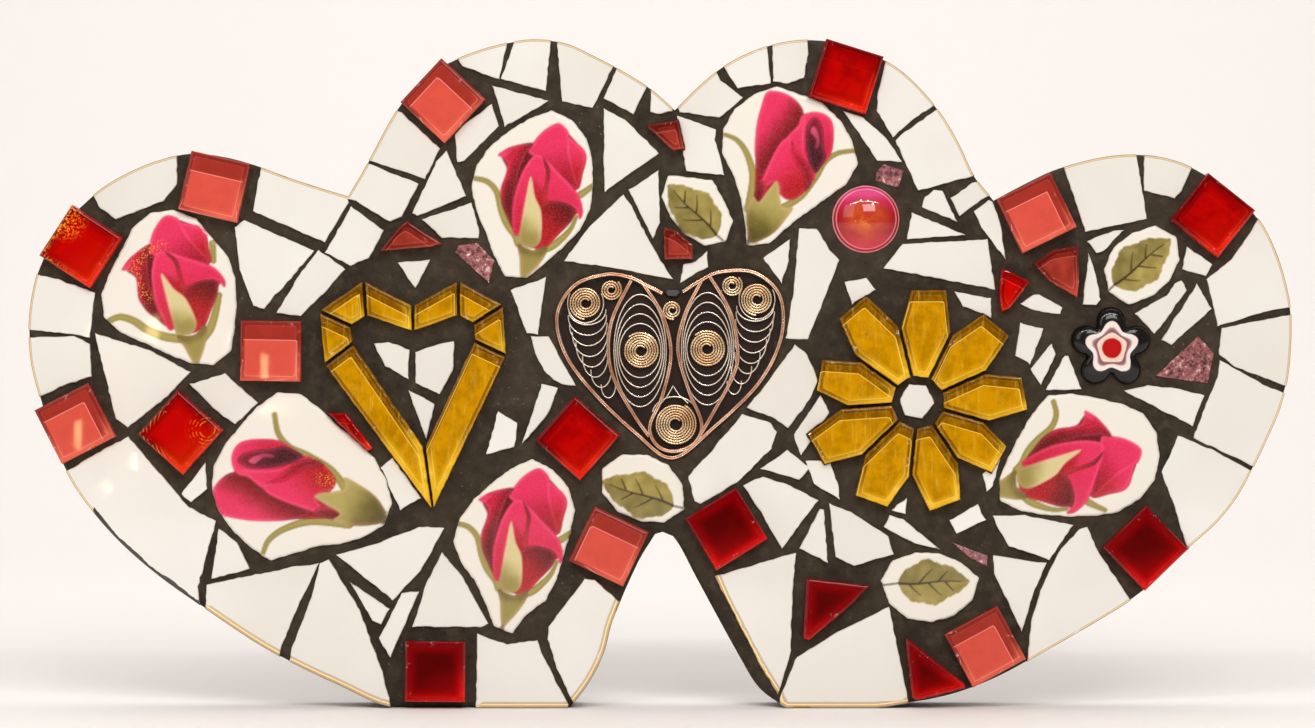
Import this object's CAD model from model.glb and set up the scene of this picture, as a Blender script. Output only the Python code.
"""Looks of a free-standing heart mosaic: broken china, painted roses, coloured glass and filigree."""

import math
import random

import bmesh
import bpy
import numpy as np
from mathutils import Matrix, Vector, noise


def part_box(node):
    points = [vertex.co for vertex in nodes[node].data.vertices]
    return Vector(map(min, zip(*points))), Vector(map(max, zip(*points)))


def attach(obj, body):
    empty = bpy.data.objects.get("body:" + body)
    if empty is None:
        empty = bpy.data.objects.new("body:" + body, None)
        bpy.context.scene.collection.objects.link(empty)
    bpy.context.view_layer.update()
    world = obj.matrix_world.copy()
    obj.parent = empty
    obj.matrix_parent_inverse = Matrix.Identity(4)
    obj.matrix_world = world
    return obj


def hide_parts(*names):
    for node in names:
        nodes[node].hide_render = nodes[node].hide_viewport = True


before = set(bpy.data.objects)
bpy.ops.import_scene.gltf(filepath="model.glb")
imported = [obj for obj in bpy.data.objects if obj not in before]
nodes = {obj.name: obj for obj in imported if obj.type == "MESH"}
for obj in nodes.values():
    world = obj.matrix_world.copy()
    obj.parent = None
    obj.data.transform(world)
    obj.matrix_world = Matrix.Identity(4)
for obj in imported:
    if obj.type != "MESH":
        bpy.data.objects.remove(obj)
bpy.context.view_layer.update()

# The fine noise of broken edges is otherwise different at each run.
noise.seed_set(7)

MM = 0.001

# ------------------------------------------------------------------ levels, read from the frame
# The dressed side faces -Y, so a level is the Y of a face and nearer the viewer is lower.

BOARD_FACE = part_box("heart_board")[0].y
CHINA_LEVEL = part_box("china_mosaic_in_grout")[0].y
SEAT_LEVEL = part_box("rose_tile_1")[1].y
WIRE_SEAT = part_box("filigree_heart")[1].y
WIRE_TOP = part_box("filigree_heart")[0].y
GROUT_LEVEL = CHINA_LEVEL + 1.5 * MM


def light_value(value):
    """Display values of 0-255 as the light values that a shader takes."""
    value = np.asarray(value, float) / 255
    return np.where(value <= 0.04045, value / 12.92, ((value + 0.055) / 1.055) ** 2.4)


def srgb(red, green, blue):
    """An opaque colour from its three display values."""
    return (*(float(value) for value in light_value((red, green, blue))), 1.0)


# ------------------------------------------------------------------ shader sums


def sum_of(operation, swapped=False):
    """A method that takes a value and another number through one Math node."""
    def apply(self, other=0.0):
        first, second = (other, self) if swapped else (self, other)
        return self.finish.get("ShaderNodeMath", {0: first, 1: second}, operation=operation)
    return apply


class Value:
    """A number on a surface, which adds and multiplies as plain numbers do."""

    def __init__(self, finish, socket):
        self.finish = finish
        self.socket = socket

    __add__ = __radd__ = sum_of("ADD")
    __sub__ = sum_of("SUBTRACT")
    __rsub__ = sum_of("SUBTRACT", swapped=True)
    __mul__ = __rmul__ = sum_of("MULTIPLY")
    __truediv__ = sum_of("DIVIDE")
    __pow__ = sum_of("POWER")
    __abs__ = sum_of("ABSOLUTE")
    sine = sum_of("SINE")
    cosine = sum_of("COSINE")
    angle_over = sum_of("ARCTAN2")

    def ramp(self, low, high, start=0.0, end=1.0):
        """Runs smoothly from start to end as this value goes from low to high."""
        inputs = {"Value": self, 1: low, 2: high, 3: start, 4: end}
        return self.finish.get("ShaderNodeMapRange", inputs, interpolation_type="SMOOTHSTEP")

    def band(self, middle, width, soft):
        """1 within half the width of the middle value, with soft sides."""
        return abs(self - middle).ramp(width / 2 - soft / 2, width / 2 + soft / 2, 1.0, 0.0)


class Finish:
    """One material, built round a Principled shader."""

    def __init__(self, name):
        self.material = bpy.data.materials.new(name)
        self.material.use_nodes = True
        self.tree = self.material.node_tree
        self.surface = self.tree.nodes["Principled BSDF"]

    def put(self, socket, value):
        if isinstance(value, Value):
            self.tree.links.new(value.socket, socket)
        else:
            socket.default_value = value

    def get(self, kind, inputs=None, output=0, **settings):
        node = self.tree.nodes.new(kind)
        for key, value in settings.items():
            if key == "stops":
                stops = node.color_ramp.elements
                while len(stops) < len(value):
                    stops.new(1.0)
                for stop, (place, colour) in zip(stops, value):
                    stop.position = place
                    stop.color = srgb(*colour)
            else:
                setattr(node, key, value)
        for key, value in (inputs or {}).items():
            self.put(node.inputs[key], value)
        return Value(self, node.outputs[output])

    def wear(self, **sockets):
        """Sets the shader's own sockets, and gives the finished material."""
        for key, value in sockets.items():
            self.put(self.surface.inputs[key.replace("_", " ")], value)
        return self.material

    def here(self):
        return self.get("ShaderNodeTexCoord", output="Object")

    def stretched(self, *scale):
        """Object coordinates that run at a different pace along each axis."""
        return self.get("ShaderNodeMapping", {"Vector": self.here(), "Scale": scale})

    def flat_from(self, middle):
        """How far across, how far up and how far in all a place is from a point, in millimetres."""
        inputs = {"Vector": self.here(), "Location": tuple(-middle / MM), "Scale": (1 / MM,) * 3}
        across, _, up = self.axes(self.get("ShaderNodeMapping", inputs))
        return across, up, (across * across + up * up) ** 0.5

    def axes(self, vector):
        return [self.get("ShaderNodeSeparateXYZ", {0: vector}, output=axis) for axis in "XYZ"]

    def mark(self, name, output="Fac"):
        """A value kept on the mesh's own points."""
        return self.get("ShaderNodeAttribute", output=output, attribute_name=name)

    def noise(self, scale, detail=3.0, rough=0.5, vector=None):
        inputs = {"Vector": vector or self.here(), "Scale": scale, "Detail": detail, "Roughness": rough}
        return self.get("ShaderNodeTexNoise", inputs)

    def cells(self, scale):
        return self.get("ShaderNodeTexVoronoi", {"Vector": self.here(), "Scale": scale}, "Distance")

    def mix(self, factor, first, second):
        """Mixes two colours, each a value or three display numbers."""
        first, second = (srgb(*c) if isinstance(c, tuple) else c for c in (first, second))
        return self.get("ShaderNodeMix", {0: factor, 6: first, 7: second}, 2, data_type="RGBA")

    def over(self, colour, *coats):
        """Lays coats over a colour in turn, each given as its cover and its own colour."""
        for cover, coat in coats:
            colour = self.mix(cover, colour, coat)
        return colour

    def shades(self, value, *stops):
        """The colour of a value, from stops of a place and a colour."""
        return self.get("ShaderNodeValToRGB", {"Fac": value}, stops=stops)

    def bump(self, height, depth, strength):
        inputs = {"Height": height, "Distance": depth, "Strength": strength}
        return self.get("ShaderNodeBump", inputs, "Normal")

    def facing_front(self):
        """1 on the dressed side, 0 on sides and back."""
        normal = self.get("ShaderNodeNewGeometry", output="Normal")
        return (self.axes(normal)[1] * -1.0).ramp(0.45, 0.75)


# ------------------------------------------------------------------ finishes


def china_glaze():
    """White glaze with a gilt rim, brown beside the gilt, and bare clay on the broken sides."""
    finish = Finish("white_china_glaze")
    rim = finish.mark("rim")
    worn = finish.noise(160.0, 4.0, 0.6).ramp(0.3, 0.35)
    gilt = rim.band(0.58, 0.62, 0.2) * worn
    brown = rim.band(1.02, 0.2, 0.16) * 0.5 + rim.band(0.1, 0.3, 0.2) * 0.8
    brown = brown + rim.ramp(0.35, 0.95, 0.9, 0.0) * finish.noise(58.0, 2.0).ramp(0.62, 0.66)
    specks = finish.cells(38.0).ramp(0.012, 0.02, 1.0, 0.0) * finish.noise(14.0).ramp(0.5, 0.52)
    ragged = finish.noise(120.0, 3.0, 0.6) - 0.5
    colour = finish.over(
        (229, 227, 222),
        (finish.noise(22.0, 2.0).ramp(0.35, 0.65), (224, 221, 214)),
        (finish.mark("tone"), (212, 206, 196)),
        (specks * 0.7, (70, 66, 62)),
        (brown, (128, 98, 60)),
        (gilt, (204, 158, 88)),
        (rim.band(0.62, 0.24, 0.16) * worn, (252, 232, 180)),
        ((finish.mark("chip") + ragged * 2.0).ramp(1.15, 1.4, 1.0, 0.0), (50, 44, 37)),
    )
    front = finish.facing_front()
    front = front + (1 - front) * rim.ramp(0.3, 0.6, 1.0, 0.0)
    broken = finish.mix(finish.noise(900.0), (196, 188, 172), (160, 150, 136))
    return finish.wear(
        Base_Color=finish.mix(front, broken, colour),
        Metallic=gilt * front * 0.3,
        Roughness=front.ramp(0.0, 1.0, 0.75, 0.14) + gilt * 0.14,
        Coat_Weight=0.6,
        Coat_Roughness=0.04,
        Normal=finish.bump(finish.noise(55.0, 1.0), 0.00012, 0.5),
    )


def grout_mix():
    finish = Finish("charcoal_grout")
    grain = finish.noise(900.0, 6.0, 0.7)
    trowel = finish.noise(210.0, 4.0, 0.65)
    specks = finish.cells(420.0).ramp(0.07, 0.14, 1.0, 0.0) * finish.noise(30.0).ramp(0.58, 0.66)
    colour = finish.over(
        (45, 37, 28),
        (finish.noise(45.0, 3.0, 0.6).ramp(0.3, 0.7), (58, 49, 38)),
        (trowel.ramp(0.45, 0.75) * 0.6, (79, 68, 54)),
        (trowel.ramp(0.25, 0.45, 1.0, 0.0) * 0.6, (28, 22, 16)),
        (grain.ramp(0.55, 0.75) * 0.35, (83, 73, 60)),
        (specks * 0.5, (140, 128, 114)),
    )
    return finish.wear(
        Base_Color=colour,
        Specular_IOR_Level=0.2,
        Roughness=0.8,
        Normal=finish.bump(grain * 0.6 + trowel * 0.8, 0.0007, 0.8),
    )


def board_seal():
    finish = Finish("sealed_board")
    brushed = finish.noise(1.0, 4.0, 0.6, finish.stretched(40.0, 900.0, 260.0))
    worn = finish.noise(70.0, 5.0, 0.65).ramp(0.62, 0.74)
    return finish.wear(
        Base_Color=finish.over((46, 40, 34), (brushed, (76, 67, 57)), (worn * 0.5, (92, 76, 58))),
        Specular_IOR_Level=0.3,
        Roughness=brushed.ramp(0.3, 0.7, 0.62, 0.78),
        Normal=finish.bump(brushed, 0.0002, 0.5),
    )


def painted_glaze(name):
    """Glaze over the colours painted on the tile's points, with worn gold dots."""
    finish = Finish(name)
    speckle = finish.noise(1500.0, 3.0, 0.7).ramp(0.35, 0.75)
    dots = finish.cells(1500.0).ramp(0.3, 0.44, 1.0, 0.0) * finish.mark("dust")
    colour = finish.over(finish.mark("paint", "Color"), (speckle * 0.03, (250, 246, 238)), (dots, (226, 132, 40)))
    front = finish.facing_front()
    return finish.wear(
        Base_Color=finish.mix(front, (176, 166, 150), colour),
        Specular_IOR_Level=0.15,
        Roughness=front.ramp(0.0, 1.0, 0.75, 0.16),
        Coat_Weight=0.4,
        Coat_Roughness=0.04,
        Normal=finish.bump(finish.noise(55.0, 1.0), 0.00012, 0.5),
    )


def glass_over_colour(name, lit, shade, line, glow, clear=1.0, sparks=None, streak=0.0, mottle=0.25, gloss=0.12):
    """Thick glass on a coloured back: a lit patch, the shade above it, and light caught low down.

    Clear is how sharply the lit patch shows, and sparks are a middle across and up in millimetres
    and whether the sparks lie in rings.
    """
    finish = Finish(name)
    edge, reach = finish.mark("edge"), finish.mark("lit")
    across, _, up = finish.axes(finish.mark("from_middle", "Vector"))
    cloud = finish.noise(150.0, 4.0, 0.65)
    patch = reach.ramp(-0.15, 0.25) * clear + edge.ramp(0.8, 5.0) * (1 - clear)
    low = (up * -0.075 + across * 0.03).ramp(-0.1, 0.9)
    caught = edge.ramp(0.5, 3.6, 1.0, 0.0) * low * cloud.ramp(0.3, 0.7, 0.55, 1.2)
    body = finish.over(
        shade,
        (patch, lit),
        (cloud.ramp(0.4, 0.66) * mottle, finish.mix(0.6, lit, shade)),
        (caught, glow),
        (low * 0.45 * (1 - clear), finish.mix(0.5, glow, shade)),
        (edge.band(1.0, 0.9, 0.6) * (1 - low) * 0.7, finish.mix(0.45, shade, (0, 0, 0))),
    )
    if streak:
        fibre = finish.noise(1.0, 4.0, 0.7, finish.stretched(900.0, 60.0, 140.0)).ramp(0.5, 0.8)
        body = finish.mix(fibre * streak, body, line)
    if sparks:
        x, z, ringed = sparks
        far = ((across - x) ** 2 + (up - z) ** 2) ** 0.5
        if ringed:
            waves = (far * 5.4).sine().ramp(0.4, 0.9)
            glint = waves * finish.noise(700.0, 2.0).ramp(0.48, 0.56) * far.ramp(1.5, 3.0)
        else:
            glint = finish.noise(1300.0, 2.0, 0.8).ramp(0.5, 0.6)
        sides = edge.ramp(0.6, 2.4, 0.7, 0.0) * (across * -0.1 + 0.1).ramp(0.0, 0.9)
        body = finish.mix(glint * (far.ramp(2.0, 8.0, 1.0, 0.0) + sides) * 0.7, body, (255, 150, 40))
    wisps = finish.noise(300.0, 6.0, 0.75).ramp(0.6, 0.68) * edge.ramp(0.5, 2.6, 0.5, 0.0)
    fine = reach.band(0.1, 0.3, 0.2) * 0.6 * clear + edge.band(1.6, 0.28, 0.22) * (0.05 + low * 0.45)
    return finish.wear(
        Base_Color=finish.over(body, (wisps, finish.mix(0.5, line, (255, 255, 255))), (fine, line)),
        Specular_IOR_Level=0.0,
        Roughness=0.3,
        Coat_Weight=edge.ramp(0.2, 1.4, 0.6, gloss),
        Coat_Roughness=0.02,
        Normal=finish.bump(cloud, 0.0001, 0.4),
    )


def glitter_glass():
    finish = Finish("pink_glitter_glass")
    curls = finish.noise(620.0, 5.0, 0.75)
    return finish.wear(
        Base_Color=finish.shades(
            curls * 0.75 + finish.noise(260.0, 3.0, 0.6) * 0.25,
            (0.41, (30, 6, 10)), (0.46, (116, 52, 56)), (0.55, (160, 94, 96)), (0.64, (250, 224, 218))),
        Metallic=0.25,
        Roughness=curls.ramp(0.4, 0.7, 0.45, 0.12),
        Coat_Weight=0.8,
        Normal=finish.bump(curls, 0.0005, 0.8),
    )


def dome_glass(middle, radius):
    """Clear dome over pink and red swirls, with an orange core and two fine rings near its rim."""
    finish = Finish("pink_dome_glass")
    _, up, far = finish.flat_from(middle)
    far = far / (radius / MM)
    ragged = finish.noise(240.0, 3.0, 0.7)
    height = up / (radius / MM) + (finish.noise(70.0, 2.0) - 0.5) * 0.7
    swirl = finish.shades(
        height * 0.5 + 0.5,
        (0.04, (214, 54, 74)), (0.3, (158, 12, 24)), (0.55, (164, 16, 28)), (0.74, (192, 36, 80)),
        (0.88, (218, 72, 136)))
    rings = far.band(0.94, 0.035, 0.03) * 0.9 + far.band(0.85, 0.03, 0.025) * 0.6
    colour = finish.over(
        swirl,
        (far.ramp(0.3, 0.8, 1.0, 0.0) * (ragged.ramp(0.34, 0.6, 0.55, 1.1) - 0.1), (190, 72, 22)),
        (far.ramp(0.0, 0.34, 0.5, 0.0) * ragged.ramp(0.5, 0.6), (238, 148, 60)),
        (far.ramp(0.78, 1.0) * 0.55, (150, 16, 52)),
        (rings, (255, 168, 172)),
    )
    return finish.wear(
        Base_Color=colour, Specular_IOR_Level=0.1, Roughness=0.12, Coat_Weight=0.9, Coat_Roughness=0.015)


def star_bead_glass(middle):
    """Black glass with nested five-pointed stars of white, mauve, cream and a red heart."""
    finish = Finish("star_bead_glass")
    across, up, far = finish.flat_from(middle)
    lobe = ((up.angle_over(across) - math.pi / 2) * 5).cosine()
    star = far * 1.06 / (1.0 + lobe * far.ramp(3.4, 7.0, 0.0, 0.17))
    star = star + (finish.noise(300.0, 1.0) - 0.5) * 0.6
    colour = finish.shades(
        star / 12.0,
        (0.0, (182, 10, 10)), (0.275, (172, 8, 10)), (0.31, (222, 190, 174)), (0.41, (228, 206, 192)),
        (0.445, (118, 70, 76)), (0.50, (158, 116, 120)), (0.545, (228, 214, 208)), (0.665, (230, 218, 212)),
        (0.695, (14, 11, 11)), (1.0, (9, 8, 8)))
    return finish.wear(
        Base_Color=colour, Specular_IOR_Level=0.1, Roughness=0.2, Coat_Weight=0.6, Coat_Roughness=0.02)


def black_glass():
    finish = Finish("black_bead_glass")
    colour = finish.mix(finish.noise(200.0), (12, 10, 10), (26, 20, 18))
    return finish.wear(Base_Color=colour, Roughness=0.08, Coat_Weight=1.0)


def wire_metal(name, bright, dull):
    finish = Finish(name)
    tone = finish.noise(120.0, 4.0, 0.6).ramp(0.3, 0.7)
    return finish.wear(
        Base_Color=finish.mix(tone, bright, dull),
        Metallic=0.9,
        Roughness=tone * 0.14 + 0.2,
        Normal=finish.bump(finish.noise(1400.0, 2.0), 0.00004, 0.5),
    )


def brown_backing():
    finish = Finish("brown_backing")
    tone = finish.noise(160.0, 4.0, 0.6)
    return finish.wear(
        Base_Color=finish.mix(tone, (26, 17, 13), (50, 35, 28)),
        Specular_IOR_Level=0.15,
        Roughness=0.6,
        Normal=finish.bump(tone, 0.0002, 0.6),
    )


# ------------------------------------------------------------------ flat outlines


def loose_copy(node):
    """The node's surface as one joined mesh in a new bmesh."""
    bm = bmesh.new()
    bm.from_mesh(nodes[node].data)
    bmesh.ops.remove_doubles(bm, verts=bm.verts[:], dist=0.002 * MM)
    return bm


def keep_flat(bm, level, side):
    """Keeps the faces on one level that look along Y to one side, joined where they meet."""
    spare = [
        face for face in bm.faces
        if face.normal.y * side < 0.99 or abs(face.calc_center_median().y - level) > 0.02 * MM
    ]
    bmesh.ops.delete(bm, geom=spare, context="FACES")
    bmesh.ops.dissolve_faces(bm, faces=bm.faces[:])
    bmesh.ops.dissolve_limit(bm, angle_limit=0.02, verts=bm.verts[:], edges=bm.edges[:])


def flat_of(verts):
    """The X and Z of some points."""
    return np.array([(v.co.x, v.co.z) for v in verts])


def rings_of(bm):
    return [flat_of(face.verts) for face in bm.faces]


def outline_of(node, level, side):
    """The outline of a node's flat face on one level."""
    bm = loose_copy(node)
    keep_flat(bm, level, side)
    ring = rings_of(bm)[0]
    bm.free()
    return ring


def inside_by(points, ring):
    """How far each point lies inside a closed outline; negative outside it."""
    start, end = ring, np.roll(ring, -1, axis=0)
    along = end - start
    result = np.empty(len(points))
    for first in range(0, len(points), 2000):
        part = points[first:first + 2000, None]
        to = part - start
        share = np.clip((to * along).sum(-1) / (along * along).sum(-1), 0, 1)
        near = np.linalg.norm(to - share[..., None] * along, axis=-1).min(1)
        crosses = (start[:, 1] > part[..., 1]) != (end[:, 1] > part[..., 1])
        rise = np.where(along[:, 1] == 0, 1.0, along[:, 1])
        at = start[:, 0] + (part[..., 1] - start[:, 1]) / rise * along[:, 0]
        odd = (crosses & (part[..., 0] < at)).sum(1) % 2 == 1
        result[first:first + 2000] = np.where(odd, near, -near)
    return result


def nearest_on(points, ring):
    """The nearest point of the outline to each point."""
    start, end = ring, np.roll(ring, -1, axis=0)
    along = end - start
    to = points[:, None] - start
    share = np.clip((to * along).sum(-1) / (along * along).sum(-1), 0, 1)
    foot = start + share[..., None] * along
    best = np.linalg.norm(points[:, None] - foot, axis=-1).argmin(1)
    return foot[np.arange(len(points)), best]


def draw_to(verts, ring):
    """Moves points onto an outline."""
    for vert, foot in zip(verts, nearest_on(flat_of(verts), ring)):
        vert.co.x, vert.co.z = foot


def smooth_line(corners, closed=True, parts=8):
    """A smooth line through corner points (a Catmull-Rom curve)."""
    points = [np.array(p, float) for p in corners]
    count = len(points)
    line = []
    for i in range(count if closed else count - 1):
        before = points[i - 1] if closed or i else points[i]
        after = points[(i + 2) % count] if closed or i + 2 < count else points[i + 1]
        here, there = points[i], points[(i + 1) % count]
        for step in range(parts):
            t = step / parts
            line.append(0.5 * (2 * here + (there - before) * t
                               + (2 * before - 5 * here + 4 * there - after) * t ** 2
                               + (3 * here - before - 3 * there + after) * t ** 3))
    if not closed:
        line.append(points[-1])
    return np.array(line)


# ------------------------------------------------------------------ shaping


def split_long_edges(bm, step):
    for edge in bm.edges[:]:
        cuts = int(edge.calc_length() / step)
        if cuts:
            bmesh.ops.subdivide_edges(bm, edges=[edge], cuts=cuts)


# How far apart the nibbles of a broken edge are.
NIBBLE = 2.0 * MM


def roughen_outline(bm, amount, keep=None):
    """Nibbles the outline of flat pieces; points on the kept outline stay, and are given back."""
    fixed = np.zeros(len(bm.verts), bool)
    if keep is not None:
        fixed = np.abs(inside_by(flat_of(bm.verts), keep)) < 0.1 * MM
    for vert, stays in zip(bm.verts, fixed):
        if not stays:
            push = noise.noise_vector(vert.co / NIBBLE)
            vert.co.x += push.x * amount
            vert.co.z += push.z * amount
    return [vert for vert, stays in zip(bm.verts, fixed) if stays]


def score(bm, faces, spacing):
    """Cuts flat faces into small squares, so that they can bend and carry marks."""
    corners = [v.co for face in faces for v in face.verts]
    for axis in (Vector((1, 0, 0)), Vector((0, 0, 1))):
        low = min(c.dot(axis) for c in corners)
        high = max(c.dot(axis) for c in corners)
        count = int((high - low) / spacing)
        for i in range(1, count + 1):
            geom = dict.fromkeys(faces)
            for face in faces:
                geom.update(dict.fromkeys([*face.edges, *face.verts]))
            place = axis * (low + i * (high - low) / (count + 1))
            cut = bmesh.ops.bisect_plane(bm, geom=list(geom), dist=0.005 * MM, plane_co=place, plane_no=axis)
            faces = [g for g in cut["geom"] if isinstance(g, bmesh.types.BMFace)]
    return faces


def lay_walls(bm, level):
    """Drops walls from the open rim of each piece to a level, and closes it underneath."""
    rim = [edge for edge in bm.edges if edge.is_boundary]
    grown = bmesh.ops.extrude_edge_only(bm, edges=rim)["geom"]
    for vert in (g for g in grown if isinstance(g, bmesh.types.BMVert)):
        vert.co.y = level
    bmesh.ops.holes_fill(bm, edges=[edge for edge in bm.edges if edge.is_boundary], sides=0)
    bmesh.ops.recalc_face_normals(bm, faces=bm.faces[:])


def face_front(bm):
    for face in bm.faces:
        if face.normal.y > 0:
            face.normal_flip()


def relief(bm, level, lip, mitred=True):
    """Raises flat pieces to a level, with a rounded lip made of (inset, rise) steps."""
    rise = sum(step[1] for step in lip)
    for vert in bm.verts:
        vert.co.y = level + rise
    face_front(bm)
    tops = bm.faces[:]
    for inset, step in lip:
        bmesh.ops.inset_region(
            bm, faces=tops, thickness=inset, depth=step, use_boundary=True, use_even_offset=mitred)
    return tops


def ngon_of(ring):
    bm = bmesh.new()
    bm.faces.new([bm.verts.new((x, 0, z)) for x, z in ring])
    bm.normal_update()
    return bm


def mesh_of(name, bm):
    mesh = bpy.data.meshes.new(name)
    bm.to_mesh(mesh)
    bm.free()
    return mesh


def place_piece(name, mesh, material, replaced, smooth=False):
    mesh.materials.clear()
    mesh.materials.append(material)
    mesh.polygons.foreach_set("use_smooth", [smooth] * len(mesh.polygons))
    piece = bpy.data.objects.new(name, mesh)
    bpy.context.scene.collection.objects.link(piece)
    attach(piece, "root")
    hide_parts(replaced)


def points_of(mesh):
    places = np.empty(len(mesh.vertices) * 3)
    mesh.vertices.foreach_get("co", places)
    return places.reshape(-1, 3)


def keep_mark(mesh, name, values, kind="FLOAT", field="value"):
    """Keeps a value for each point of a mesh, which its material reads by name."""
    mark = mesh.attributes.new(name, kind, "POINT")
    mark.data.foreach_set(field, np.asarray(values, float).ravel())


# ------------------------------------------------------------------ the board, grout and white china

BOARD_OUTLINE = outline_of("heart_board", BOARD_FACE, -1)


def eased(ring, parts=4):
    """The outline with its long facets drawn into curves, and its true corners kept."""
    count = len(ring)
    step = np.roll(ring, -1, axis=0) - ring
    heading = np.arctan2(step[:, 1], step[:, 0])
    turn = np.abs((heading - np.roll(heading, 1) + np.pi) % (2 * np.pi) - np.pi)
    points = []
    for i in range(count):
        here, there = ring[i], ring[(i + 1) % count]
        run = there - here
        leave = run if turn[i] > 0.5 else (there - ring[i - 1]) / 2
        arrive = run if turn[(i + 1) % count] > 0.5 else (ring[(i + 2) % count] - here) / 2
        length = np.linalg.norm(run)
        leave = leave / np.linalg.norm(leave) * length
        arrive = arrive / np.linalg.norm(arrive) * length
        for part in range(parts if length > 3 * MM else 1):
            t = part / parts
            points.append(here * (1 + 2 * t) * (1 - t) ** 2 + leave * t * (1 - t) ** 2
                          + there * t * t * (3 - 2 * t) - arrive * t * t * (1 - t))
    return np.array(points)


# The crown of the arch between the feet is rounder than the board's solid. The outline crosses the arch's
# middle there, between the two levels.
ARCH_CROWN = np.array([(0.9, 58.6), (4.4, 57.2)]) * MM
ARCH_MIDDLE = 2.7 * MM
CROWN_LEVELS = (48 * MM, 62 * MM)


def with_crown(ring):
    for i in range(len(ring)):
        first, second = ring[i], ring[(i + 1) % len(ring)]
        at_crown = all(CROWN_LEVELS[0] < end[1] < CROWN_LEVELS[1] for end in (first, second))
        if at_crown and (first[0] - ARCH_MIDDLE) * (second[0] - ARCH_MIDDLE) < 0:
            crown = ARCH_CROWN if first[0] < second[0] else ARCH_CROWN[::-1]
            return np.insert(ring, i + 1, crown, axis=0)
    return ring


BOARD_LOW, BOARD_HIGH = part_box("heart_board")
EASED_OUTLINE = np.clip(
    eased(with_crown(BOARD_OUTLINE)), (BOARD_LOW.x, BOARD_LOW.z), (BOARD_HIGH.x, BOARD_HIGH.z))

SHARDS = loose_copy("china_mosaic_in_grout")
keep_flat(SHARDS, CHINA_LEVEL, -1)
SHARD_RINGS = rings_of(SHARDS)

SET_NODES = [name for name in nodes if name not in ("heart_board", "china_mosaic_in_grout", "filigree_heart")]
SET_RINGS = {name: outline_of(name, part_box(name)[1].y, 1) for name in SET_NODES}


def islands(bm):
    """The separate pieces of a bmesh, each as a list of its points."""
    seen, found = set(), []
    for start in bm.verts:
        if start in seen:
            continue
        seen.add(start)
        piece, waiting = [start], [start]
        while waiting:
            vert = waiting.pop()
            for edge in vert.link_edges:
                other = edge.other_vert(vert)
                if other not in seen:
                    seen.add(other)
                    piece.append(other)
                    waiting.append(other)
        found.append(piece)
    return found


# The low and high corners, in X and Z, of the stretches where the plate's gilt rim is wide.
WIDE_GILT = np.array([[(-152, 1), (-90, 34.6)], [(-60, -1), (-12, 37)], [(38, -1), (90, 4)]]) * MM
# A gilt edge that stops short of the outline.
INNER_GILT = smooth_line([(18.4, 43.6), (21.5, 36.5), (27.4, 25), (33.6, 13.4), (39.4, 4.2)], False) * MM
# The low and high corner, in X and Z, of the stretch where the plate's rim is chipped and the dark bed shows.
CHIPPED_RIM = np.array([(-189, 33), (-152, 68)]) * MM
# Past this distance a rim has no effect.
FAR_OFF = 8 * MM


def lay_china():
    """Broken plate: each shard a little tilted and dished, with gilt where its rim meets the outline."""
    bm = SHARDS
    split_long_edges(bm, 1.6 * MM)
    rim = roughen_outline(bm, 0.36 * MM, BOARD_OUTLINE)
    draw_to(rim, EASED_OUTLINE)
    tops = relief(bm, CHINA_LEVEL, [(0.12 * MM, 0.3 * MM), (0.25 * MM, 0.15 * MM)], mitred=False)
    score(bm, tops, 2.0 * MM)
    lay_walls(bm, SEAT_LEVEL)
    dice = random.Random(7)
    tones = np.zeros(len(bm.verts))
    bm.verts.index_update()
    for piece in islands(bm):
        tones[[v.index for v in piece]] = dice.uniform(0.0, 0.38)
        middle = sum((v.co for v in piece), Vector()) / len(piece)
        lean_x, lean_z = dice.uniform(-0.014, 0.014), dice.uniform(-0.014, 0.014)
        dish = dice.uniform(-0.9, 1.4)
        sink = dice.uniform(0.0, 0.25) * MM
        for vert in piece:
            if vert.co.y < SEAT_LEVEL - MM:
                across, up = vert.co.x - middle.x, vert.co.z - middle.z
                bend = lean_x * across + lean_z * up + dish * (across ** 2 + up ** 2)
                vert.co.y += sink + max(-0.4 * MM, min(0.5 * MM, bend))
    mesh = mesh_of("white_china_shards", bm)
    places = points_of(mesh)[:, [0, 2]]
    from_outline = np.abs(inside_by(places, EASED_OUTLINE))
    wide = [((places > low) & (places < high)).all(1) for low, high in WIDE_GILT]
    from_inner = np.linalg.norm(places[:, None] - INNER_GILT, axis=-1).min(1)
    from_gilt = np.minimum(from_outline * np.where(np.any(wide, axis=0), 0.53, 1.3), from_inner * 0.53)
    keep_mark(mesh, "rim", np.minimum(from_gilt, FAR_OFF) / MM)
    chipped = ((places > CHIPPED_RIM[0]) & (places < CHIPPED_RIM[1])).all(1)
    keep_mark(mesh, "chip", np.where(chipped, np.minimum(from_outline, FAR_OFF), FAR_OFF) / MM)
    keep_mark(mesh, "tone", tones)
    place_piece("white_china_shards", mesh, china_glaze(), "china_mosaic_in_grout")


def lay_board():
    """The board behind, with its back arris taken off."""
    bm = ngon_of(EASED_OUTLINE)
    relief(bm, BOARD_FACE, [])
    lay_walls(bm, BOARD_HIGH.y)
    arris = [e for e in bm.edges if all(v.co.y > BOARD_HIGH.y - 0.01 * MM for v in e.verts)
             and any(abs(f.normal.y) < 0.5 for f in e.link_faces)]
    bmesh.ops.bevel(bm, geom=arris, offset=0.9 * MM, segments=2, profile=0.5, affect="EDGES", material=-1)
    place_piece("sealed_board", mesh_of("sealed_board", bm), board_seal(), "heart_board")


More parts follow.
